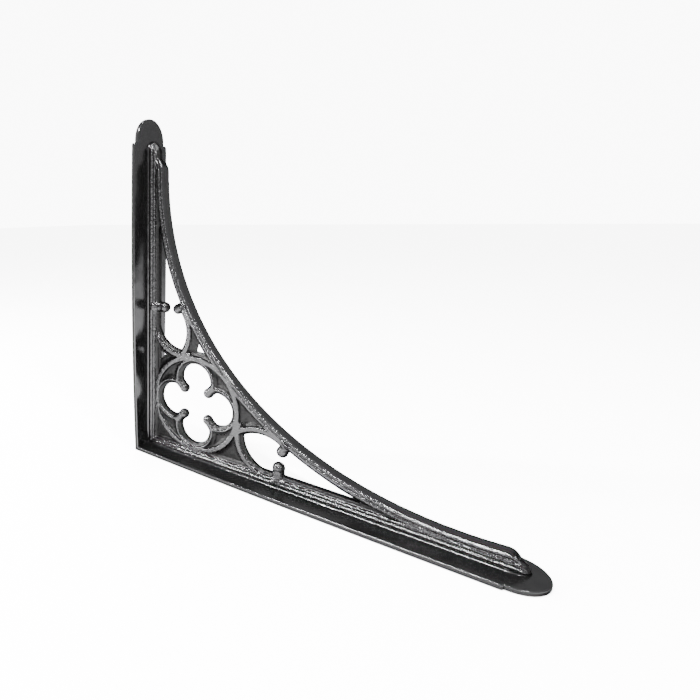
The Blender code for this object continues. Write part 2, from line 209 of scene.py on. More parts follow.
def new_group(name: str, kind: str, inputs: list[tuple], outputs: list[tuple]
              ) -> tuple[bpy.types.NodeTree, NodeWriter, bpy.types.Node, bpy.types.Node]:
    """Make a node group with named sockets.

    Args:
        name: the group's name.
        kind: the tree type.
        inputs: (name, socket type, default or None) for each input.
        outputs: (name, socket type) for each output.

    Returns:
        The group, its writer, and its input and output nodes.
    """
    group = bpy.data.node_groups.new(name, kind)
    for label, socket_type, default in inputs:
        socket = group.interface.new_socket(label, in_out="INPUT", socket_type=socket_type)
        if default is not None:
            socket.default_value = default
    for label, socket_type in outputs:
        group.interface.new_socket(label, in_out="OUTPUT", socket_type=socket_type)
    writer = NodeWriter(group)
    return group, writer, writer.add("NodeGroupInput"), writer.add("NodeGroupOutput")


def set_socket(modifier: bpy.types.NodesModifier, label: str, value: Any) -> None:
    """Set a Geometry Nodes input by the identifier behind its name.

    Args:
        modifier: the modifier.
        label: the socket's name.
        value: the new value.
    """
    for item in modifier.node_group.interface.items_tree:
        if item.item_type == "SOCKET" and item.in_out == "INPUT" and item.name == label:
            modifier[item.identifier] = value
            return
    raise KeyError(label)


def plain_mesh(obj: bpy.types.Object, name: str) -> bpy.types.Mesh:
    """Evaluate an object with its modifiers into a plain mesh.

    Args:
        obj: the object.
        name: name of the mesh.

    Returns:
        The evaluated mesh.
    """
    bpy.context.view_layer.update()
    graph = bpy.context.evaluated_depsgraph_get()
    mesh = bpy.data.meshes.new_from_object(obj.evaluated_get(graph))
    mesh.name = name
    return mesh


def scene_object(name: str, mesh: bpy.types.Mesh) -> bpy.types.Object:
    """Link a mesh into the scene as an object at the origin.

    Args:
        name: the object's name.
        mesh: its mesh.

    Returns:
        The object.
    """
    obj = bpy.data.objects.new(name, mesh)
    bpy.context.scene.collection.objects.link(obj)
    return obj


def report(obj: bpy.types.Object) -> None:
    """Log a piece's name and how many triangles it has."""
    obj.data.calc_loop_triangles()
    log.info("%s: %d triangles", obj.name, len(obj.data.loop_triangles))


def mirrored(half: list[Point]) -> list[Point]:
    """Close a half section of (offset, depth) points with its back side."""
    return half + [(offset, -depth) for offset, depth in reversed(half)]


def bead(start: float, end: float, base: float, rise: float, steps: int = 9) -> list[Point]:
    """Half round moulding between two offsets.

    Args:
        start: first offset.
        end: last offset.
        base: depth at both ends.
        rise: how far the middle stands above the ends.
        steps: number of spans.

    Returns:
        Points of the moulding.
    """
    span = end - start
    return [(start + span * i / steps, base + rise * math.sin(math.pi * i / steps))
            for i in range(steps + 1)]


def hollow(start: Point, end: Point, steps: int = 7) -> list[Point]:
    """Quarter hollow that leaves the start along the depth and meets the end flat.

    Args:
        start: (offset, depth) of the upper edge.
        end: (offset, depth) of the lower edge.
        steps: number of spans.

    Returns:
        Points of the hollow.
    """
    points = []
    for i in range(steps + 1):
        t = math.pi * 0.5 * i / steps
        offset = end[0] - (end[0] - start[0]) * math.cos(t)
        depth = start[1] - (start[1] - end[1]) * math.sin(t)
        points.append((offset, depth))
    return points


@dataclass
class Sweeper:
    """Collects closed solids in one bmesh."""

    bm: bmesh.types.BMesh = field(default_factory=bmesh.new)

    def ring_of(self, points: list[Vector]) -> list[bmesh.types.BMVert]:
        """Add the corners of one section and return them as vertices."""
        return [self.bm.verts.new(p) for p in points]

    def skin(self, rows: list[list[bmesh.types.BMVert]], closed: bool) -> None:
        """Stretch quads between sections and cap an open run.

        Args:
            rows: the sections in order.
            closed: True when the last section joins the first.
        """
        count = len(rows[0])
        pairs = list(zip(rows, rows[1:]))
        if closed:
            pairs.append((rows[-1], rows[0]))
        for low, high in pairs:
            for i in range(count):
                self.bm.faces.new((low[i - 1], low[i], high[i], high[i - 1]))
        if not closed:
            self.bm.faces.new(rows[0])
            self.bm.faces.new(rows[-1])

    def arc(self, leg: Leg, centre: Point, radius: float, start: float, end: float,
            half: list[Point], steps: int) -> None:
        """Sweep a section round an arc in the plane of the web.

        Args:
            leg: the leg whose plan coordinates are used.
            centre: centre as a plan point.
            radius: radius of the section's zero offset.
            start: first angle in degrees, from u towards v.
            end: last angle in degrees.
            half: half section as (offset, depth).
            steps: number of spans.
        """
        closed = abs(end - start) >= 360.0
        loop = mirrored(half)
        rows = []
        for i in range(steps if closed else steps + 1):
            a = math.radians(start + (end - start) * i / steps)
            rows.append(self.ring_of([
                leg.place(centre[0] + (radius + offset) * math.cos(a),
                          centre[1] + (radius + offset) * math.sin(a), depth)
                for offset, depth in loop]))
        self.skin(rows, closed)

    def turned(self, root: Vector, axis: Vector, profile: list[Point], sides: int) -> None:
        """Turn a profile about an axis.

        Args:
            root: start of the axis.
            axis: its direction.
            profile: (radius, height) pairs, first and last capped.
            sides: number of sides.
        """
        turn = Vector((0.0, 0.0, 1.0)).rotation_difference(axis)
        rows = []
        for radius, height in profile:
            ring = []
            for i in range(sides):
                a = 2.0 * math.pi * i / sides
                local = Vector((radius * math.cos(a), radius * math.sin(a), height))
                ring.append(root + turn @ local)
            rows.append(self.ring_of(ring))
        self.skin(rows, False)

    def finish(self, name: str) -> bpy.types.Object:
        """Turn the collected solids into an object.

        Args:
            name: the object's name.

        Returns:
            The object, with its faces pointing out.
        """
        bmesh.ops.recalc_face_normals(self.bm, faces=self.bm.faces)
        mesh = bpy.data.meshes.new(name)
        self.bm.to_mesh(mesh)
        self.bm.free()
        return scene_object(name, mesh)


@dataclass
class Nose:
    """Rounded end of a moulding that dies into the strap."""

    shelf_start: float = 185.7 * MM
    wall_start: float = 180.0 * MM
    shelf_length: float = 8.0 * MM
    wall_length: float = 8.0 * MM
    turn: float = 78.0
    steps: int = 10

    def start(self, leg: Leg) -> float:
        """Distance from the outer corner at which a leg's nose begins."""
        return self.shelf_start if leg is Leg.SHELF else self.wall_start

    def rows(self, section: list[tuple[float, float, float]],
             leg: Leg) -> list[list[Vector]]:
        """Sections of the nose, each smaller than the one before.

        Args:
            section: (u, v, depth) of the moulding where the nose begins.
            leg: the leg.

        Returns:
            The sections as points.
        """
        low = STRAP_THICK * 0.5
        length = self.shelf_length if leg is Leg.SHELF else self.wall_length
        rows = []
        for k in range(1, self.steps + 1):
            a = math.radians(self.turn) * k / self.steps
            shrink = math.cos(a)
            onward = length * math.sin(a)
            rows.append([leg.place(u + onward, low + (v - low) * shrink, depth * shrink)
                         for u, v, depth in section])
        return rows


@dataclass
class StrapPair:
    """Two flat straps mitred into an L, each flared and ending in a rounded lug."""

    corner_width: float = 26.0 * MM
    widest_at: float = 112.0 * MM
    shelf_widths: tuple[float, float, float] = (29.2 * MM, 28.0 * MM, 25.8 * MM)
    wall_widths: tuple[float, float, float] = (31.6 * MM, 30.0 * MM, 24.4 * MM)
    lug_length: float = 14.0 * MM
    shoulder: float = 1.2 * MM
    shoulder_share: float = 0.5
    shoulder_foot: float = 0.3 * MM
    edge_round: float = 0.55 * MM
    corner_round: float = 0.7 * MM
    corner_segments: int = 3
    mitre_reach: float = 0.001 * MM
    mitre_angle: float = 1.0
    mitre_length: float = 5.0 * MM
    bow_steps: int = 8
    shoulder_steps: int = 3
    lug_steps: int = 24
    rim_steps: int = 3

    def side(self, leg: Leg) -> list[Point]:
        """One side of a strap's outline as (u, half width).

        Args:
            leg: the leg.

        Returns:
            The points from the corner to the lug's tip.
        """
        widths = self.shelf_widths if leg is Leg.SHELF else self.wall_widths
        widest, last, lug = (width * 0.5 for width in widths)
        shoulder_at = LEG - self.lug_length
        run = shoulder_at - self.shoulder - self.widest_at
        points = []
        for i in range(self.bow_steps):
            t = 1.0 - i / self.bow_steps
            points.append((self.widest_at * (1.0 - t),
                           widest - (widest - self.corner_width * 0.5) * t ** 2))
        for i in range(self.bow_steps + 1):
            t = i / self.bow_steps
            points.append((self.widest_at + run * t, widest - (widest - last) * t ** 2))
        for i in range(1, self.shoulder_steps + 1):
            a = math.pi * 0.5 * i / self.shoulder_steps
            points.append((shoulder_at - self.shoulder * (1.0 - math.sin(a)),
                           last - (last - lug) * self.shoulder_share * (1.0 - math.cos(a))))
        points.append((shoulder_at + self.shoulder_foot, lug))
        for i in range(1, self.lug_steps + 1):
            a = math.pi * 0.5 * i / self.lug_steps
            points.append((LEG - lug + lug * math.sin(a), lug * math.cos(a)))
        return points

    def layer(self, loop: list[Point], depth: float, inset: float, leg: Leg) -> list[Vector]:
        """The outline at one depth, drawn in by an inset and cut at the mitre.

        Args:
            loop: the closed outline as (u, y).
            depth: distance from the outer face.
            inset: how far the outline is drawn in.
            leg: the leg.

        Returns:
            The layer's points.
        """
        points = []
        for i, (u, y) in enumerate(loop):
            here = Vector((u, y))
            before = Vector(loop[i - 1]) if i else here - Vector((1.0, 0.0))
            after = Vector(loop[i + 1]) if i < len(loop) - 1 else Vector((u - 1.0, y))
            along = (after - before).normalized()
            moved = here + Vector((along.y, -along.x)) * inset
            points.append(leg.place(moved.x if u > 0.0 else depth, depth, moved.y))
        return points

    def build(self) -> bpy.types.Object:
        """Make the pair as one closed shell.

        Returns:
            The object.
        """
        bm = bmesh.new()
        r = self.edge_round
        rim = [(r * (1.0 - math.cos(a)), r * (1.0 - math.sin(a)))
               for a in (math.radians(90.0 * k / self.rim_steps)
                         for k in range(self.rim_steps + 1))]
        layers = rim + [(STRAP_THICK - depth, inset) for depth, inset in reversed(rim)]
        for leg in Leg:
            side = self.side(leg)
            loop = side + [(u, -w) for u, w in reversed(side[:-1])]
            rows = [[bm.verts.new(p) for p in self.layer(loop, depth, inset, leg)]
                    for depth, inset in layers]
            for low, high in zip(rows, rows[1:]):
                for i in range(1, len(loop)):
                    bm.faces.new((low[i - 1], low[i], high[i], high[i - 1]))
            bm.faces.new(rows[0])
            bm.faces.new(rows[-1])
        bmesh.ops.remove_doubles(bm, verts=bm.verts, dist=WELD)
        bmesh.ops.recalc_face_normals(bm, faces=bm.faces)
        self.soften_corner(bm)
        mesh = bpy.data.meshes.new("straps")
        bm.to_mesh(mesh)
        bm.free()
        return scene_object("straps", mesh)

    def soften_corner(self, bm: bmesh.types.BMesh) -> None:
        """Round the edges where the two straps meet.

        Args:
            bm: the shell.
        """
        meet = []
        for edge in bm.edges:
            on_mitre = all(abs(v.co.x - CORNER_X - v.co.z) < self.mitre_reach
                           for v in edge.verts)
            sharp = edge.calc_face_angle(0.0) > self.mitre_angle
            if on_mitre and sharp and edge.calc_length() > self.mitre_length:
                meet.append(edge)
        bmesh.ops.bevel(bm, geom=meet, offset=self.corner_round,
                        segments=self.corner_segments, profile=0.5,
                        affect="EDGES", clamp_overlap=True)


@dataclass
class Border:
    """Reeded border along both straps, mitred at the corner."""

    top: float = 8.5 * MM
    half: float = 4.0 * MM
    reveal: float = 1.4 * MM
    sink: float = 1.2 * MM
    lip: float = 0.05 * MM
    cove: float = 0.9 * MM
    cove_spread: float = 1.3
    cove_steps: int = 4
    reeds: tuple[tuple[float, float, float], ...] = (
        (3.5 * MM, 5.1 * MM, 0.55 * MM), (5.2 * MM, 6.8 * MM, 1.1 * MM))
    reed_rise: float = 0.85 * MM
    reveal_edge: tuple[Point, Point] = ((7.0 * MM, 0.7 * MM), (8.4 * MM, 0.25 * MM))
    nose: Nose = field(default_factory=Nose)

    def section(self) -> list[Point]:
        """Half section as (v, depth), from inside the strap to the opening.

        Returns:
            The points.
        """
        foot = STRAP_THICK
        points = [(foot - self.sink, self.half + self.cove * self.cove_spread),
                  (foot - self.lip, self.half + self.cove)]
        for i in range(1, self.cove_steps + 1):
            a = math.pi * 0.5 * i / self.cove_steps
            points.append((foot + self.cove * (1.0 - math.cos(a)),
                           self.half + self.cove * (1.0 - math.sin(a))))
        for start, end, drop in self.reeds:
            points += bead(start, end, self.half - drop, self.reed_rise)
        points += [(v, self.reveal + over) for v, over in self.reveal_edge]
        return points + [(self.top, self.reveal)]

    def build(self, sweeper: Sweeper) -> None:
        """Add the border as one run from nose to nose.

        Args:
            sweeper: the collector.
        """
        loop = mirrored(self.section())
        runs = {}
        for leg in Leg:
            section = [(self.nose.start(leg), v, depth) for v, depth in loop]
            rows = [[leg.place(*corner) for corner in section]]
            runs[leg] = rows + self.nose.rows(section, leg)
        mitre = [Leg.SHELF.place(v, v, depth) for v, depth in loop]
        rows = list(reversed(runs[Leg.WALL])) + [mitre] + runs[Leg.SHELF]
        sweeper.skin([sweeper.ring_of(row) for row in rows], False)


@dataclass
class Brace:
    """Hollow curved brace with a hollow, a roll and a fillet in its section."""

    centre: Point = BRACE_CENTRE
    radius: float = BRACE_RADIUS
    width: float = 6.2 * MM
    face_half: float = 3.2 * MM
    half: float = 3.5 * MM
    reveal: float = 1.5 * MM
    face_round: float = 0.25 * MM
    face_edge: Point = (0.12 * MM, 0.45 * MM)
    roll: Point = (0.5 * MM, 2.3 * MM)
    roll_sink: float = 0.55 * MM
    roll_rise: float = 0.6 * MM
    groove: Point = (2.42 * MM, 2.62 * MM)
    groove_sink: float = 0.85 * MM
    fillet: Point = (2.8 * MM, 4.15 * MM)
    fillet_sink: float = 0.1 * MM
    hollow_edge: Point = (4.25 * MM, 0.12 * MM)
    hollow_steps: int = 5
    steps: int = 120
    nose: Nose = field(default_factory=lambda: Nose(
        shelf_start=185.2 * MM, wall_start=170.0 * MM,
        shelf_length=6.2 * MM, wall_length=9.8 * MM))

    def section(self) -> list[Point]:
        """Half section from the outer face to the openings.

        Returns:
            The points as (offset, depth).
        """
        points = [(0.0, self.face_half - self.face_round)]
        points += [(offset, self.face_half) for offset in self.face_edge]
        points += bead(*self.roll, self.half - self.roll_sink, self.roll_rise)
        points += [(offset, self.half - self.groove_sink) for offset in self.groove]
        points += [(offset, self.half - self.fillet_sink) for offset in self.fillet]
        edge = (self.hollow_edge[0], self.half - self.hollow_edge[1])
        return points + hollow(edge, (self.width, self.reveal), self.hollow_steps)

    def build(self, sweeper: Sweeper) -> None:
        """Add the brace as one run from nose to nose.

        Args:
            sweeper: the collector.
        """
        loop = mirrored(self.section())
        over_shelf, over_wall = (
            math.asin((self.nose.start(leg) - middle) / self.radius)
            for leg, middle in zip(Leg, self.centre))
        rows = []
        for i in range(self.steps + 1):
            a = (math.pi * 1.5 + over_shelf
                 - (math.pi * 0.5 + over_shelf + over_wall) * i / self.steps)
            rows.append([Leg.SHELF.place(self.centre[0] + (self.radius + offset) * math.cos(a),
                                         self.centre[1] + (self.radius + offset) * math.sin(a),
                                         depth) for offset, depth in loop])
        for leg, row in ((Leg.SHELF, rows[0]), (Leg.WALL, rows[-1])):
            section = [(*leg.plan(p), p.y) for p in row]
            nose = self.nose.rows(section, leg)
            rows = list(reversed(nose)) + rows if leg is Leg.SHELF else rows + nose
        sweeper.skin([sweeper.ring_of(row) for row in rows], False)


@dataclass
class TraceryBar:
    """Section of the tracery bars: a flat fillet with a hollow to each side."""

    fillet: float = 1.25 * MM
    foot: float = 2.9 * MM
    crest: float = 3.3 * MM
    edge: float = 1.2 * MM

    def section(self) -> list[Point]:
        """Half section across the bar as (offset, depth) points."""
        right = hollow((self.fillet, self.crest), (self.foot, self.edge))
        return [(-offset, depth) for offset, depth in reversed(right)] + right


@dataclass
class Cusp:
    """Stout cusp that tapers to a neck and ends in a round bulb."""

    root: Vector
    tip: Vector
    root_radius: float
    neck_radius: float = 2.75 * MM
    bulb_radius: float = 3.0 * MM
    taper_steps: int = 6
    bulb_steps: int = 12
    bulb_end: float = 86.0
    sides: int = 32

    def build(self, sweeper: Sweeper) -> None:
        """Add the cusp.

        Args:
            sweeper: the collector.
        """
        axis = self.tip - self.root
        reach = axis.length
        waist = math.acos(self.neck_radius / self.bulb_radius)
        neck_at = reach - self.bulb_radius * math.sin(waist)
        profile = [(self.root_radius, 0.0)]
        for i in range(1, self.taper_steps + 1):
            t = i / self.taper_steps
            ease = t * (2.0 - t)
            profile.append((self.root_radius + (self.neck_radius - self.root_radius) * ease,
                            neck_at * t))
        last = math.radians(self.bulb_end)
        for i in range(1, self.bulb_steps + 1):
            a = -waist + (last + waist) * i / self.bulb_steps
            profile.append((self.bulb_radius * math.cos(a),
                            reach + self.bulb_radius * math.sin(a)))
        sweeper.turned(self.root, axis, profile, self.sides)


@dataclass
class Spandrel:
    """Sunk floor of a small triangle between bars, blind or with a smaller hole."""

    leg: Leg
    corners: tuple[Point, Point, Point]
    half: float = 0.8 * MM
    spread: float = 1.3
    hole: float = 0.0
    hole_edge: float = 0.8
    shift: Point = (0.0, 0.0)

    def build(self, sweeper: Sweeper) -> None:
        """Add the floor.

        Args:
            sweeper: the collector.
        """
        middle = sum((Vector(c) for c in self.corners), Vector((0.0, 0.0))) / 3.0
        outer = [middle + (Vector(c) - middle) * self.spread for c in self.corners]
        inner = [middle + Vector(self.shift) + (Vector(c) - middle) * self.hole
                 for c in self.corners]
        place = self.leg.place
        if self.hole:
            edge = self.half * self.hole_edge
            rows = [[place(*o, self.half), place(*i, edge), place(*i, -edge),
                     place(*o, -self.half)] for o, i in zip(outer, inner)]
            sweeper.skin([sweeper.ring_of(row) for row in rows], True)
        else:
            rows = [[place(*o, depth) for o in outer] for depth in (self.half, -self.half)]
            sweeper.skin([sweeper.ring_of(row) for row in rows], False)


@dataclass
class Roundel:
    """Corner ring with its quatrefoil of four foils and four cusps."""

    centre: float = 35.7 * MM
    radius: float = 28.0 * MM
    bar: TraceryBar = field(default_factory=TraceryBar)
    foil_offset: float = 14.6 * MM
    foil_radius: float = 9.9 * MM
    rim: TraceryBar = field(default_factory=lambda: TraceryBar(
        fillet=0.5 * MM, foot=2.4 * MM, crest=3.1 * MM, edge=1.5 * MM))
    rim_lap: float = 0.1 * MM
    plate_half: float = 0.7 * MM
    throat: float = 10.9 * MM
    cusp_tip: float = 11.6 * MM
    cusp_sink: float = 1.6 * MM
    cusp_root: float = 3.3 * MM
    count: int = 4
    ring_steps: int = 160
    foil_steps: int = 56
    lobe_steps: int = 40
    plate_steps: int = 120

    def build_ring(self, sweeper: Sweeper) -> None:
        """Add the ring to the collector."""
        sweeper.arc(Leg.SHELF, (self.centre, self.centre), self.radius, 0.0, 360.0,
                    self.bar.section(), self.ring_steps)

    def foil(self) -> bpy.types.Object:
        """Make one foil rim and its cusp about the origin.

        Returns:
            The object that the repeat group copies.
        """
        sweeper = Sweeper()
        rim_radius = self.foil_radius + self.rim.foot - self.rim_lap
        half_gap = self.foil_offset / math.sqrt(2.0)
        meet = math.sqrt(rim_radius ** 2 - half_gap ** 2)
        spread = 45.0 + math.degrees(math.atan2(half_gap, meet))
        origin = -CORNER_X
        sweeper.arc(Leg.SHELF, (origin + self.foil_offset, 0.0), rim_radius, -spread, spread,
                    self.rim.section(), self.foil_steps)
        slant = math.radians(45.0)
        ray = Vector((math.cos(slant), 0.0, math.sin(slant)))
        root = ray * (half_gap + meet + self.cusp_sink)
        Cusp(root, ray * self.cusp_tip, self.cusp_root).build(sweeper)
        return sweeper.finish("foil")

    def plate(self) -> bpy.types.Object:
        """Make the sunk plate inside the ring, open at the lobes.

        Returns:
            The object.
        """
        reach = math.acos((self.foil_offset ** 2 + self.foil_radius ** 2
                           - self.throat ** 2)
                          / (2.0 * self.foil_offset * self.foil_radius))
        half_turn = math.pi - reach
        data = bpy.data.curves.new("plate", "CURVE")
        data.dimensions = "2D"
        data.fill_mode = "BOTH"
        data.extrude = self.plate_half
        inner = []
        for lobe in range(self.count):
            beta = 2.0 * math.pi * lobe / self.count
            for i in range(self.lobe_steps + 1):
                a = beta - half_turn + 2.0 * half_turn * i / self.lobe_steps
                inner.append((self.foil_offset * math.cos(beta)
                              + self.foil_radius * math.cos(a),
                              self.foil_offset * math.sin(beta)
                              + self.foil_radius * math.sin(a)))
        turns = [2.0 * math.pi * i / self.plate_steps for i in range(self.plate_steps)]
        outer = [(self.radius * math.cos(a), self.radius * math.sin(a)) for a in turns]
        for loop in (outer, inner):
            spline = data.splines.new("POLY")
            spline.points.add(len(loop) - 1)
            for point, (x, y) in zip(spline.points, loop):
                point.co = (x, y, 0.0, 1.0)
            spline.use_cyclic_u = True
        flat = bpy.data.objects.new("plate_outline", data)
        bpy.context.scene.collection.objects.link(flat)
        mesh = plain_mesh(flat, "plate")
        bpy.data.objects.remove(flat, do_unlink=True)
        place = (Matrix.Translation((CORNER_X + self.centre, 0.0, self.centre))
                 @ Matrix.Rotation(math.pi * 0.5, 4, "X"))
        mesh.transform(place)
        return scene_object("plate", mesh)

    def foils(self, material: bpy.types.Material) -> bpy.types.Object:
        """Copy the foil round the roundel with the repeat group.

        Args:
            material: the casting's material.

        Returns:
            The repeated foils as a plain mesh object.
        """
        source = self.foil()
        repeat = source.modifiers.new("repeat", "NODES")
        repeat.node_group = radial_repeat_group()
        set_socket(repeat, "Count", self.count)
        set_socket(repeat, "Middle", (CORNER_X + self.centre, 0.0, self.centre))
        set_socket(repeat, "First Angle", 0.0)
        set_socket(repeat, "Finish", material)
        mesh = plain_mesh(source, "foils")
        bpy.data.objects.remove(source, do_unlink=True)
        return scene_object("foils", mesh)


@dataclass
class Teardrop:
    """Pointed teardrop opening of one leg: heel bar, crown bar and two cusps."""

    leg: Leg
    low_along: float
    high_along: float
    heel_centre: Point = (84.1 * MM, 25.2 * MM)
    heel_radius: float = 17.2 * MM
    heel_arc: Point = (158.0, 262.0)
    heel_steps: int = 64
    crown_centre: Point = (77.8 * MM, 9.6 * MM)
    crown_radius: float = 18.8 * MM
    crown_arc: Point = (52.0, 131.0)
    crown_steps: int = 52
    cusp_root: float = 4.6 * MM
    low_root: float = 5.0 * MM
    low_cusp: float = 12.3 * MM
    low_neck: float = 3.1 * MM
    low_bulb: float = 3.3 * MM
    high_cusp: float = 21.9 * MM
    high_lean: float = 3.2 * MM
    high_rise: float = 6.2 * MM
    high_neck: float = 2.9 * MM
    high_bulb: float = 3.1 * MM
    bar: TraceryBar = field(default_factory=lambda: TraceryBar(crest=3.25 * MM))

    def build(self, sweeper: Sweeper) -> None:
        """Add the bars and cusps.

        Args:
            sweeper: the collector.
        """
        foot = self.bar.foot
        section = self.bar.section()
        sweeper.arc(self.leg, self.heel_centre, self.heel_radius + foot, *self.heel_arc,
                    section, self.heel_steps)
        sweeper.arc(self.leg, self.crown_centre, self.crown_radius + foot, *self.crown_arc,
                    section, self.crown_steps)
        place = self.leg.place
        Cusp(place(self.low_along, self.low_root, 0.0),
             place(self.low_along, self.low_cusp, 0.0),
             self.cusp_root, self.low_neck, self.low_bulb).build(sweeper)
        Cusp(place(self.high_along + self.high_lean, self.high_cusp + self.high_rise, 0.0),
             place(self.high_along, self.high_cusp, 0.0),
             self.cusp_root, self.high_neck, self.high_bulb).build(sweeper)


def radial_repeat_group() -> bpy.types.NodeTree:
    """Geometry Nodes group that copies its input about a middle in the web's plane.

    Returns:
        The node group.
    """
    group, w, start, end = new_group(
        "RadialRepeat", "GeometryNodeTree",
        [("Geometry", "NodeSocketGeometry", None), ("Count", "NodeSocketInt", 4),
         ("Middle", "NodeSocketVector", None), ("First Angle", "NodeSocketFloat", 0.0),
         ("Finish", "NodeSocketMaterial", None)],
        [("Geometry", "NodeSocketGeometry")])
    points = w.add("GeometryNodePoints", Count=start.outputs["Count"],
                   Position=start.outputs["Middle"])
    index = w.add("GeometryNodeInputIndex")
    step = w.math("DIVIDE", 2.0 * math.pi, start.outputs["Count"])
    angle = w.math("ADD", w.math("MULTIPLY", index.outputs[0], step),
                   start.outputs["First Angle"])
    turn = w.add("ShaderNodeCombineXYZ", Y=angle)
    copies = w.add("GeometryNodeInstanceOnPoints", Points=points.outputs[0],
                   Instance=start.outputs["Geometry"], Rotation=turn.outputs[0])
    real = w.add("GeometryNodeRealizeInstances", Geometry=copies.outputs[0])
    finish = w.add("GeometryNodeSetMaterial", Geometry=real.outputs[0],
                   Material=start.outputs["Finish"])
    w.feed(end.inputs["Geometry"], finish.outputs[0])
    return group


def cast_skin_group() -> bpy.types.NodeTree:
    """Geometry Nodes group that gives a fused web the swell of a finished casting.

    Returns:
        The node group.
    """
    group, w, start, end = new_group(
        "CastSkin", "GeometryNodeTree",
        [("Geometry", "NodeSocketGeometry", None), ("Swell", "NodeSocketFloat", 0.0),
         ("Swell Scale", "NodeSocketFloat", 120.0), ("Seed", "NodeSocketFloat", 0.0),
         ("Finish", "NodeSocketMaterial", None)],
        [("Geometry", "NodeSocketGeometry")])
    position = w.add("GeometryNodeInputPosition")
    normal = w.add("GeometryNodeInputNormal")
    noise = w.add("ShaderNodeTexNoise", {"noise_dimensions": "4D"},
                  Vector=position.outputs[0], W=start.outputs["Seed"],
                  Scale=start.outputs["Swell Scale"], Detail=2.0)
    level = w.math("SUBTRACT", noise.outputs[0], 0.5)
    height = w.math("MULTIPLY", level, start.outputs["Swell"])
    offset = w.add("ShaderNodeVectorMath", {"operation": "SCALE"},
                   i0=normal.outputs[0], Scale=height)
    moved = w.add("GeometryNodeSetPosition", Geometry=start.outputs["Geometry"],
                  Offset=offset.outputs[0])
    real = w.add("GeometryNodeRealizeInstances", Geometry=moved.outputs[0])
    finish = w.add("GeometryNodeSetMaterial", Geometry=real.outputs[0],
                   Material=start.outputs["Finish"])
    w.feed(end.inputs["Geometry"], finish.outputs[0])
    return group


@dataclass
class Casting:
    """The whole bracket, fused from its sub-assemblies."""

    material: bpy.types.Material
    voxel: float = 0.30 * MM
    web_triangles: int = 170000
    soften_factor: float = 0.5
    soften_rounds: int = 4
    swell: float = 0.16 * MM
    swell_scale: float = 260.0
    swell_seed: float = 3.0
    smooth_below: float = 50.0
    shelf_cusps: Point = (87.9 * MM, 89.4 * MM)
    wall_cusps: Point = (91.2 * MM, 91.2 * MM)
    by_brace: tuple[Point, Point, Point] = (
        (66.2 * MM, 31.3 * MM), (65.5 * MM, 43.3 * MM), (77.6 * MM, 34.2 * MM))
    by_heel: tuple[Point, Point, Point] = (
        (61.7 * MM, 19.1 * MM), (51.5 * MM, 9.1 * MM), (67.4 * MM, 9.1 * MM))
    in_corner: tuple[Point, Point, Point] = (
        (9.1 * MM, 9.1 * MM), (19.7 * MM, 9.1 * MM), (9.1 * MM, 19.7 * MM))
    brace_hole: float = 0.42
    brace_hole_shift: Point = (-0.6 * MM, 1.2 * MM)
    heel_hole: float = 0.36
    heel_hole_shift: Point = (1.4 * MM, -1.6 * MM)

    def spandrels(self) -> list[Spandrel]:
        """List the sunk floors of the small triangles.

        Returns:
            The floors of both legs and the corner.
        """
        return [Spandrel(Leg.SHELF, self.by_brace),
                Spandrel(Leg.SHELF, self.by_heel),
                Spandrel(Leg.WALL, self.by_brace, hole=self.brace_hole,
                         shift=self.brace_hole_shift),
                Spandrel(Leg.WALL, self.by_heel, hole=self.heel_hole,
                         shift=self.heel_hole_shift),
                Spandrel(Leg.SHELF, self.in_corner)]

    def web(self) -> bpy.types.Object:
        """Fuse border, brace, roundel and teardrops into one softened skin.

        Returns:
            The web object.
        """
        sweeper = Sweeper()
        Border().build(sweeper)
        Brace().build(sweeper)
        roundel = Roundel()
        roundel.build_ring(sweeper)
        Teardrop(Leg.SHELF, *self.shelf_cusps).build(sweeper)
        Teardrop(Leg.WALL, *self.wall_cusps).build(sweeper)
        for spandrel in self.spandrels():
            spandrel.build(sweeper)
        web = sweeper.finish("web")
        join_into(web, [roundel.plate(), roundel.foils(self.material)])
        fuse = web.modifiers.new("fuse", "REMESH")
        fuse.mode = "VOXEL"
        fuse.voxel_size = self.voxel
        soften = web.modifiers.new("soften", "SMOOTH")
        soften.factor = self.soften_factor
        soften.iterations = self.soften_rounds
        skin = web.modifiers.new("skin", "NODES")
        skin.node_group = cast_skin_group()
        set_socket(skin, "Swell", self.swell)
        set_socket(skin, "Swell Scale", self.swell_scale)
        set_socket(skin, "Seed", self.swell_seed)
        set_socket(skin, "Finish", self.material)
        full = plain_mesh(web, "web_full")
        full.transform(Matrix.Translation((0.0, WEB_BACK, 0.0)))
        web.modifiers.clear()
        web.data = full
        report(web)
        thin = web.modifiers.new("thin", "DECIMATE")
        thin.ratio = min(1.0, self.web_triangles / len(full.loop_triangles))
        web.data = plain_mesh(web, "web_thin")
        web.modifiers.clear()
        report(web)
        return web

    def build(self) -> bpy.types.Object:
        """Make the finished piece.

        Returns:
            The bracket's object, at the origin.
        """
        straps = StrapPair().build()
        straps.data.materials.append(self.material)
        straps.data.shade_smooth()
        straps.data.set_sharp_from_angle(angle=math.radians(self.smooth_below))
        even = straps.modifiers.new("even", "WEIGHTED_NORMAL")
        even.keep_sharp = True
        straps.data = plain_mesh(straps, "straps_even")
        straps.modifiers.clear()
        report(straps)
        web = self.web()
        web.data.shade_smooth()
        join_into(web, [straps])
        web.name = "bracket_casting"
        web.data.name = "bracket_casting"
        return web


def join_into(target: bpy.types.Object, others: list[bpy.types.Object]) -> None:
    """Join plain mesh objects into one.

    Args:
        target: the object that stays.
        others: the objects that it takes in.
    """
    with bpy.context.temp_override(active_object=target, object=target,
                                   selected_editable_objects=[target, *others],
                                   selected_objects=[target, *others]):
        bpy.ops.object.join()


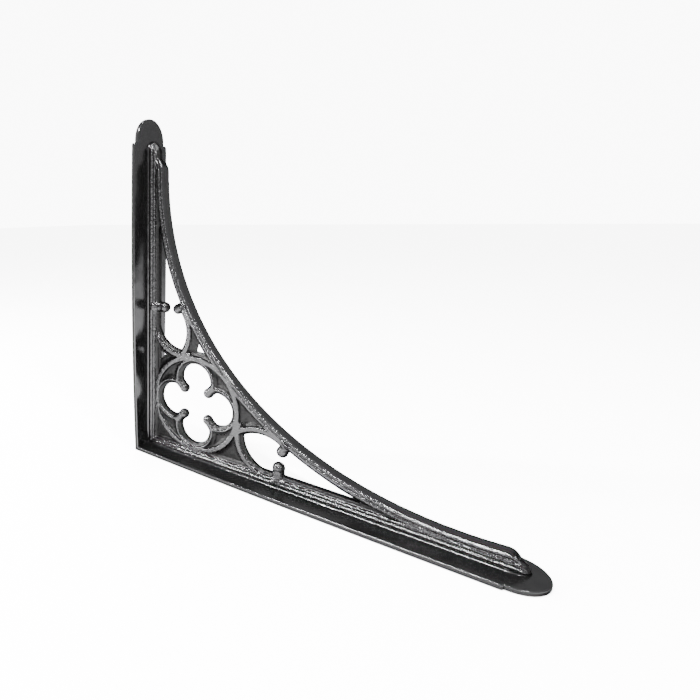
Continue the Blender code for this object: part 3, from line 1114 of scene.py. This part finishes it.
def relief_group(zones: ReliefZones) -> bpy.types.NodeTree:
    """Shader group that puts out the casting's ripple, pits, grain and masks, one of them the
    mask for painted shade.

    Args:
        zones: where the relief changes, and its scales.

    Returns:
        The node group.
    """
    group, w, start, end = new_group(
        "CastRelief", "ShaderNodeTree",
        [("Vector", "NodeSocketVector", None),
         ("Strap Level", "NodeSocketFloat", zones.strap_level),
         ("Polished Depth", "NodeSocketFloat", zones.polished_depth)],
        [("Painted Shade And Rough", "NodeSocketFloat"), ("Flange", "NodeSocketFloat"),
         ("Ripple", "NodeSocketFloat"), ("Pits", "NodeSocketFloat"),
         ("Grain", "NodeSocketFloat"), ("Smudge", "NodeSocketFloat")])
    split = w.add("ShaderNodeSeparateXYZ", Vector=start.outputs["Vector"])
    along = w.math("ADD", split.outputs["X"], -CORNER_X)
    nearest = w.math("MINIMUM", along, split.outputs["Z"])
    web = w.add("ShaderNodeMapRange", {"interpolation_type": "SMOOTHSTEP"}, Value=nearest,
                From_Min=start.outputs["Strap Level"], From_Max=zones.web_level)
    depth = w.math("ABSOLUTE", w.math("SUBTRACT", split.outputs["Y"], WEB_BACK))
    polished = w.add("ShaderNodeMapRange", {"interpolation_type": "SMOOTHSTEP"},
                     Value=depth, From_Min=zones.sunk_depth,
                     From_Max=start.outputs["Polished Depth"])
    sunk = w.math("SUBTRACT", 1.0, polished.outputs[0])
    from_axis = w.add("ShaderNodeVectorMath", {"operation": "MULTIPLY_ADD"},
                      i0=start.outputs["Vector"], i1=(1.0, 0.0, 1.0),
                      i2=(-CORNER_X - BRACE_CENTRE[0], 0.0, -BRACE_CENTRE[1]))
    reach = w.add("ShaderNodeVectorMath", {"operation": "LENGTH"}, i0=from_axis.outputs[0])
    inside = w.add("ShaderNodeMapRange", Value=reach.outputs["Value"],
                   From_Min=BRACE_RADIUS + zones.band_from,
                   From_Max=BRACE_RADIUS + zones.band_to)
    # painted shade in the sunk parts of the web inside the brace
    hollow_part = w.math("MULTIPLY", w.math("MULTIPLY", sunk, web.outputs[0]),
                         inside.outputs[0])
    # painted shade along the straps' side faces next to their outer faces
    rim = w.add("ShaderNodeMapRange", {"interpolation_type": "SMOOTHSTEP"}, Value=nearest,
                From_Min=zones.rim_from, From_Max=zones.rim_to, To_Min=1.0, To_Max=0.0)
    # one mask for the painted shade and for the rougher, unpolished finish in the same places
    painted_shade_and_rough = w.math("MAXIMUM", hollow_part, rim.outputs[0])
    broad = w.add("ShaderNodeTexNoise", Vector=start.outputs["Vector"],
                  Scale=zones.ripple_scale, Detail=1.0, Roughness=0.4)
    pits = w.add("ShaderNodeTexNoise", Vector=start.outputs["Vector"],
                 Scale=zones.pit_scale, Detail=2.5, Roughness=0.6)
    grain = w.add("ShaderNodeTexNoise", Vector=start.outputs["Vector"],
                  Scale=zones.grain_scale, Detail=2.0, Roughness=0.6)
    smudge = w.add("ShaderNodeTexNoise", Vector=start.outputs["Vector"],
                   Scale=zones.smudge_scale, Detail=4.0, Roughness=0.62, Distortion=0.6)
    w.feed(end.inputs["Painted Shade And Rough"], painted_shade_and_rough)
    w.feed(end.inputs["Ripple"], broad.outputs[0])
    pitted = w.math("MULTIPLY", web.outputs[0], inside.outputs[0])
    w.feed(end.inputs["Pits"], w.math("MULTIPLY", pits.outputs[0], pitted))
    w.feed(end.inputs["Grain"], grain.outputs[0])
    w.feed(end.inputs["Smudge"], smudge.outputs[0])
    w.feed(end.inputs["Flange"], w.math("SUBTRACT", 1.0, web.outputs[0]))
    return group


def cast_material(finish: CastFinish) -> bpy.types.Material:
    """Build the polished black metal, with painted shade in its recesses and along the straps'
    side faces.

    Args:
        finish: its colours and gloss.

    Returns:
        The material.
    """
    material = bpy.data.materials.new(finish.name)
    material.use_nodes = True
    tree = material.node_tree
    w = NodeWriter(tree)
    shader = tree.nodes["Principled BSDF"]
    coords = w.add("ShaderNodeTexCoord")
    relief = w.add("ShaderNodeGroup", {"node_tree": relief_group(ReliefZones())},
                   Vector=coords.outputs["Object"])
    flat = w.add("ShaderNodeMix", {"data_type": "RGBA"})
    w.feed(flat.inputs[0], relief.outputs["Smudge"])
    w.feed(flat.inputs[6], finish.face)
    w.feed(flat.inputs[7], finish.worn)
    # painted shade: the mask darkens the base colour in the sunk parts and along the straps'
    # side faces
    colour = w.add("ShaderNodeMix", {"data_type": "RGBA"})
    w.feed(colour.inputs[0], relief.outputs["Painted Shade And Rough"])
    w.feed(colour.inputs[6], flat.outputs[2])
    w.feed(colour.inputs[7], finish.painted_shade_colour)
    w.feed(shader.inputs["Base Color"], colour.outputs[2])
    gloss = w.add("ShaderNodeMapRange", Value=relief.outputs["Smudge"],
                  From_Min=finish.smudge_low, From_Max=finish.smudge_high,
                  To_Min=finish.roughness_low, To_Max=finish.roughness_high)
    flange = w.add("ShaderNodeMix", {"data_type": "FLOAT"})
    w.feed(flange.inputs[0], relief.outputs["Flange"])
    w.feed(flange.inputs[2], gloss.outputs[0])
    w.feed(flange.inputs[3], finish.roughness_flange)
    dull = w.add("ShaderNodeMix", {"data_type": "FLOAT"})
    w.feed(dull.inputs[0], relief.outputs["Painted Shade And Rough"])
    w.feed(dull.inputs[2], flange.outputs[0])
    w.feed(dull.inputs[3], finish.roughness_deep)
    w.feed(shader.inputs["Roughness"], dull.outputs[0])
    ripple = w.add("ShaderNodeBump", Strength=1.0, Distance=finish.ripple_height,
                   Height=relief.outputs["Ripple"])
    pits = w.add("ShaderNodeBump", Strength=1.0, Distance=finish.pit_height,
                 Height=relief.outputs["Pits"], Normal=ripple.outputs[0])
    grain = w.add("ShaderNodeBump", Strength=1.0, Distance=finish.grain_height,
                  Height=relief.outputs["Grain"], Normal=pits.outputs[0])
    w.feed(shader.inputs["Normal"], grain.outputs[0])
    shader.inputs["Metallic"].default_value = finish.metallic
    shader.inputs["Specular Tint"].default_value = finish.edge_tint
    return material


def seen_by_camera(tree: bpy.types.NodeTree, shader: bpy.types.NodeSocket,
                   glow: bpy.types.NodeSocket, end: bpy.types.NodeSocket) -> None:
    """Show one shader to other rays and a second one to the camera.

    Args:
        tree: the node tree.
        shader: what lights and mirrors meet.
        glow: what the camera sees.
        end: the output's input socket.
    """
    w = NodeWriter(tree)
    path = w.add("ShaderNodeLightPath")
    mix = w.add("ShaderNodeMixShader", i0=path.outputs["Is Camera Ray"], i1=shader, i2=glow)
    w.feed(end, mix.outputs[0])


def floor_material(finish: StageFinish) -> bpy.types.Material:
    """Build the pale floor, which looks near white to the camera.

    Args:
        finish: its colour, roughness and glow.

    Returns:
        The material.
    """
    material = bpy.data.materials.new(finish.name)
    material.use_nodes = True
    tree = material.node_tree
    w = NodeWriter(tree)
    shader = tree.nodes["Principled BSDF"]
    shader.inputs["Base Color"].default_value = finish.colour
    shader.inputs["Roughness"].default_value = finish.roughness
    shader.inputs["Specular IOR Level"].default_value = finish.sheen
    glow = w.add("ShaderNodeEmission", Strength=finish.glow)
    bright = w.add("ShaderNodeAddShader", i0=shader.outputs[0], i1=glow.outputs[0])
    end = tree.nodes["Material Output"].inputs["Surface"]
    seen_by_camera(tree, shader.outputs[0], bright.outputs[0], end)
    return material


@dataclass(frozen=True)
class SoftBox:
    """One soft light: where it stands, what it faces, its size and its power in watts."""

    name: str
    place: tuple[float, float, float]
    target: tuple[float, float, float]
    size: Point
    power: float


@dataclass
class Studio:
    """Flat pale floor, soft lights and the photograph's camera."""

    finish: StageFinish = field(default_factory=StageFinish)
    floor_reach: float = 6.0
    boxes: tuple[SoftBox, ...] = (
        SoftBox("key", (0.75, -0.35, 1.0), (0.0, 0.0, 0.08), (0.12, 0.12), 24.0),
        SoftBox("top", (-0.25, 0.1, 1.2), (0.0, 0.0, 0.05), (0.12, 0.12), 16.0),
        SoftBox("side", (-0.62, -0.30, 0.27), (-0.05, 0.0, 0.1), (0.04, 0.5), 26.0),
        SoftBox("over", (-0.12, -0.36, 0.75), (0.0, 0.0, 0.02), (0.5, 0.03), 32.0))
    azimuth: float = 43.82
    pitch: float = 11.36
    roll: float = -1.06
    focal_pixels: float = 513.8
    centre_pixels: Point = (98.6, 319.1)
    frame_pixels: float = 700.0
    sensor_width: float = 36.0
    nearest: float = 0.01
    position: tuple[float, float, float] = (0.09487, -0.24721, 0.14609)

    def build(self) -> None:
        """Set up stage, lights, world and camera."""
        self.floor()
        for box in self.boxes:
            self.light(box)
        self.surroundings()
        self.camera()

    def surroundings(self) -> None:
        """Set up the white world, brighter where the camera sees it."""
        world = bpy.data.worlds.new("studio")
        bpy.context.scene.world = world
        world.use_nodes = True
        tree = world.node_tree
        around = tree.nodes["Background"]
        around.inputs["Strength"].default_value = self.finish.surroundings
        around.inputs["Color"].default_value = (1.0, 1.0, 1.0, 1.0)
        behind = NodeWriter(tree).add("ShaderNodeBackground", Strength=self.finish.backdrop,
                                      Color=(1.0, 1.0, 1.0, 1.0))
        end = tree.nodes["World Output"].inputs["Surface"]
        seen_by_camera(tree, around.outputs[0], behind.outputs[0], end)

    def floor(self) -> None:
        """Add the floor as one wide flat sheet."""
        bm = bmesh.new()
        bmesh.ops.create_grid(bm, x_segments=2, y_segments=2, size=self.floor_reach)
        mesh = bpy.data.meshes.new("floor")
        bm.to_mesh(mesh)
        bm.free()
        floor = scene_object("floor", mesh)
        floor.data.materials.append(floor_material(self.finish))
        report(floor)

    def light(self, box: SoftBox) -> None:
        """Add a soft box that faces its target.

        Args:
            box: the light's place, target, size and power.
        """
        data = bpy.data.lights.new(box.name, "AREA")
        data.shape = "RECTANGLE"
        data.size, data.size_y = box.size
        data.energy = box.power
        lamp = bpy.data.objects.new(box.name, data)
        bpy.context.scene.collection.objects.link(lamp)
        lamp.location = box.place
        aim = Vector(box.target) - Vector(box.place)
        lamp.rotation_euler = aim.to_track_quat("-Z", "Y").to_euler()

    def camera(self) -> None:
        """Add the camera at the photograph's viewing angle."""
        az, pitch, roll = (math.radians(a) for a in (self.azimuth, self.pitch, self.roll))
        right = Vector((math.cos(az), math.sin(az), 0.0))
        level = Vector((-math.sin(az), math.cos(az), 0.0))
        up = Vector((0.0, 0.0, 1.0)) * math.cos(pitch) + level * math.sin(pitch)
        ahead = level * math.cos(pitch) - Vector((0.0, 0.0, 1.0)) * math.sin(pitch)
        across = right * math.cos(roll) + up * math.sin(roll)
        upward = up * math.cos(roll) - right * math.sin(roll)
        data = bpy.data.cameras.new("photo_camera")
        data.sensor_width = self.sensor_width
        data.lens = self.focal_pixels / self.frame_pixels * self.sensor_width
        data.shift_x = (self.frame_pixels * 0.5 - self.centre_pixels[0]) / self.frame_pixels
        data.shift_y = (self.centre_pixels[1] - self.frame_pixels * 0.5) / self.frame_pixels
        data.clip_start = self.nearest
        camera = bpy.data.objects.new("photo_camera", data)
        bpy.context.scene.collection.objects.link(camera)
        turn = Matrix((across, upward, -ahead)).transposed().to_4x4()
        camera.matrix_world = Matrix.Translation(self.position) @ turn
        bpy.context.scene.camera = camera


def main() -> None:
    """Build the bracket and its studio."""
    logging.basicConfig(level=logging.INFO, format="%(message)s")
    material = cast_material(CastFinish())
    casting = Casting(material)
    bracket = casting.build()
    report(bracket)
    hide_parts("bracket")
    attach(bracket, "root")
    Studio().build()


if __name__ == "__main__":
    main()
